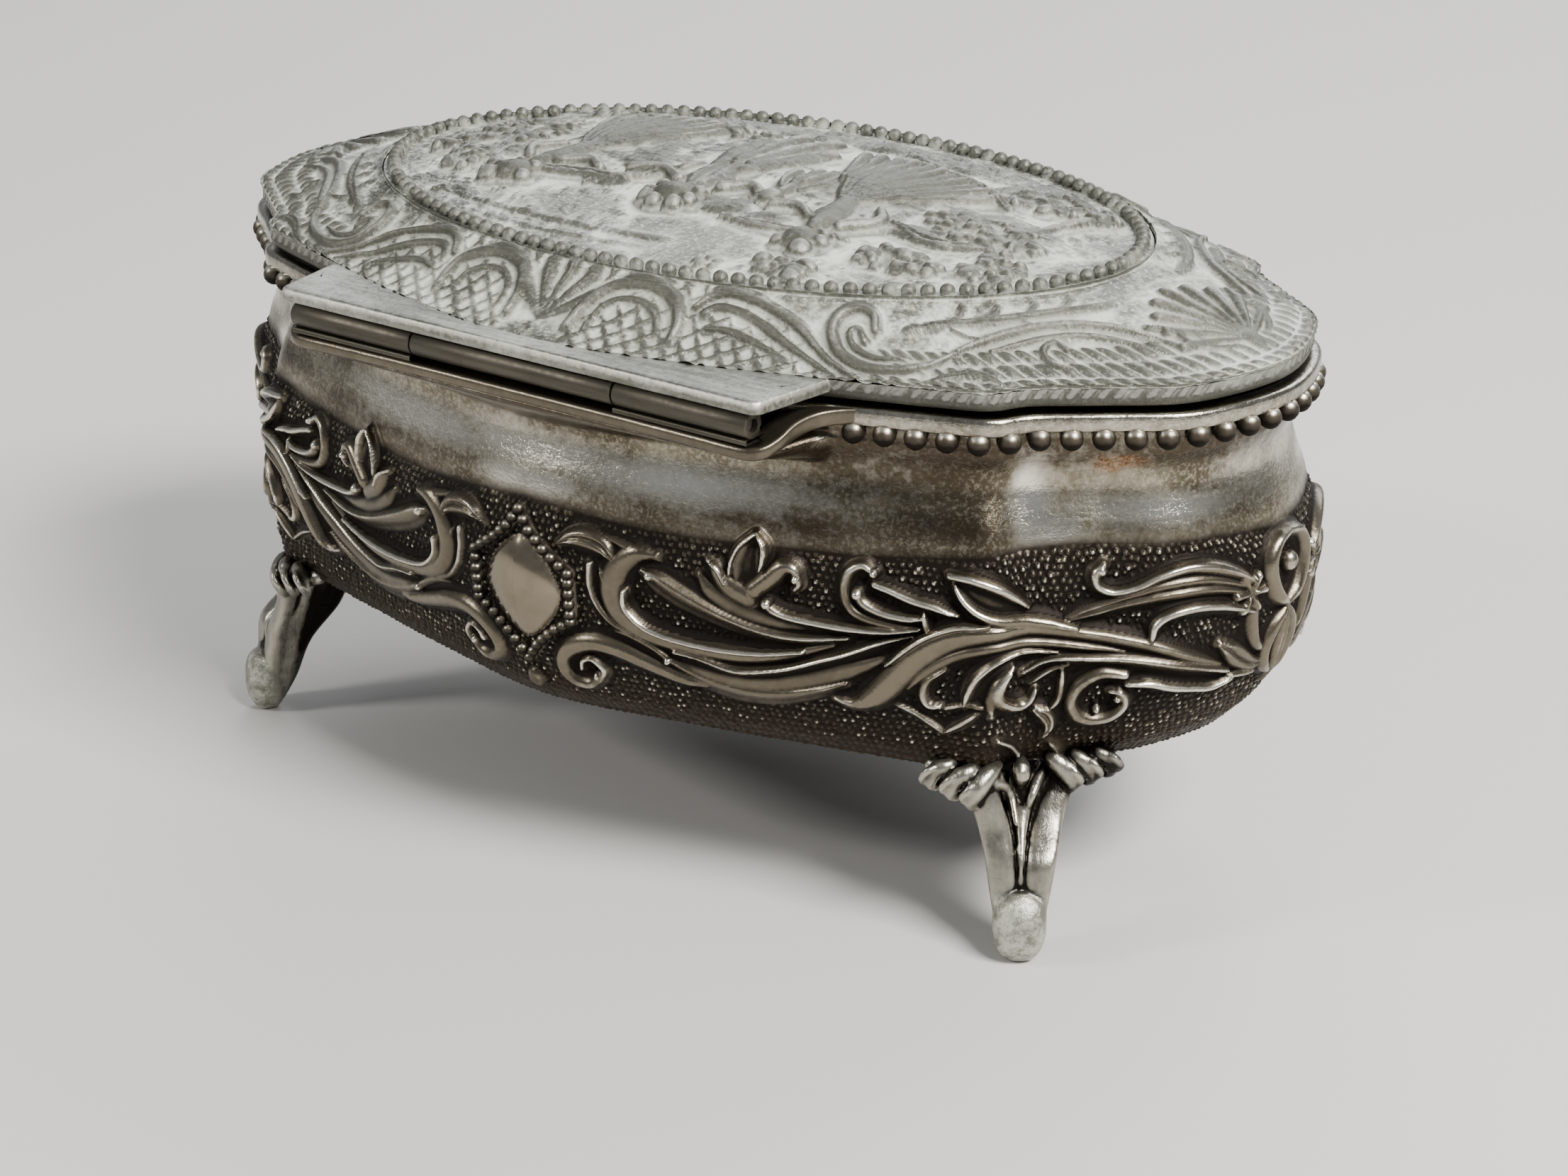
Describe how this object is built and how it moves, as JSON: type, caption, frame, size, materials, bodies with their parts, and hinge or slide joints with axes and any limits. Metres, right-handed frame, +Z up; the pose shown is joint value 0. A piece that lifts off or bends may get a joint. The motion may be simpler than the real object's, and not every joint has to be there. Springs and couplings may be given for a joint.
{
  "type": "vanity trinket box",
  "caption": "Footed oval casket of cast white metal with a bracket-cornered plan, relief scrollwork, a hinged domed lid and a velvet lining.",
  "frame": {"origin": "middle of the box's footprint, at the height of the surface that it stands on", "axes": "+Z up; X along the long axis; +Y towards the hinge side"},
  "size_m": [0.0894, 0.0566, 0.0454],
  "materials": {
    "aged_silver": "worn silver plate with dark tarnish in the recesses",
    "dusty_silver": "dull oxidised silver plate with pale dust in the relief",
    "leg_silver": "cast white metal, brighter on the ribs",
    "hinge_metal": "dark rolled sheet",
    "pin_steel": "dull drawn wire",
    "card": "grey-brown pasteboard",
    "velvet": "old crushed velvet"
  },
  "bodies": {
    "body": {"body_shell": "aged_silver", "hinge_ledge": "aged_silver", "leg_back_left": "leg_silver", "leg_back_right": "leg_silver", "leg_front": "leg_silver", "hinge_knuckle_left": "hinge_metal", "hinge_knuckle_right": "hinge_metal", "hinge_pin": "pin_steel", "floor_card": "card", "floor_pad": "velvet", "wall_lining": "velvet"},
    "lid": {"lid_shell": "dusty_silver", "lid_hinge_plate": "dusty_silver", "hinge_knuckle_centre": "hinge_metal", "lid_card": "card", "lid_pad": "velvet"}
  },
  "joints": [
    {"name": "lid_hinge", "type": "hinge", "parent": "body", "child": "lid", "pos_m": [0, 0.02728, 0.03816], "axis": [-1, 0, 0], "range_deg": [0, 95]}
  ]
}
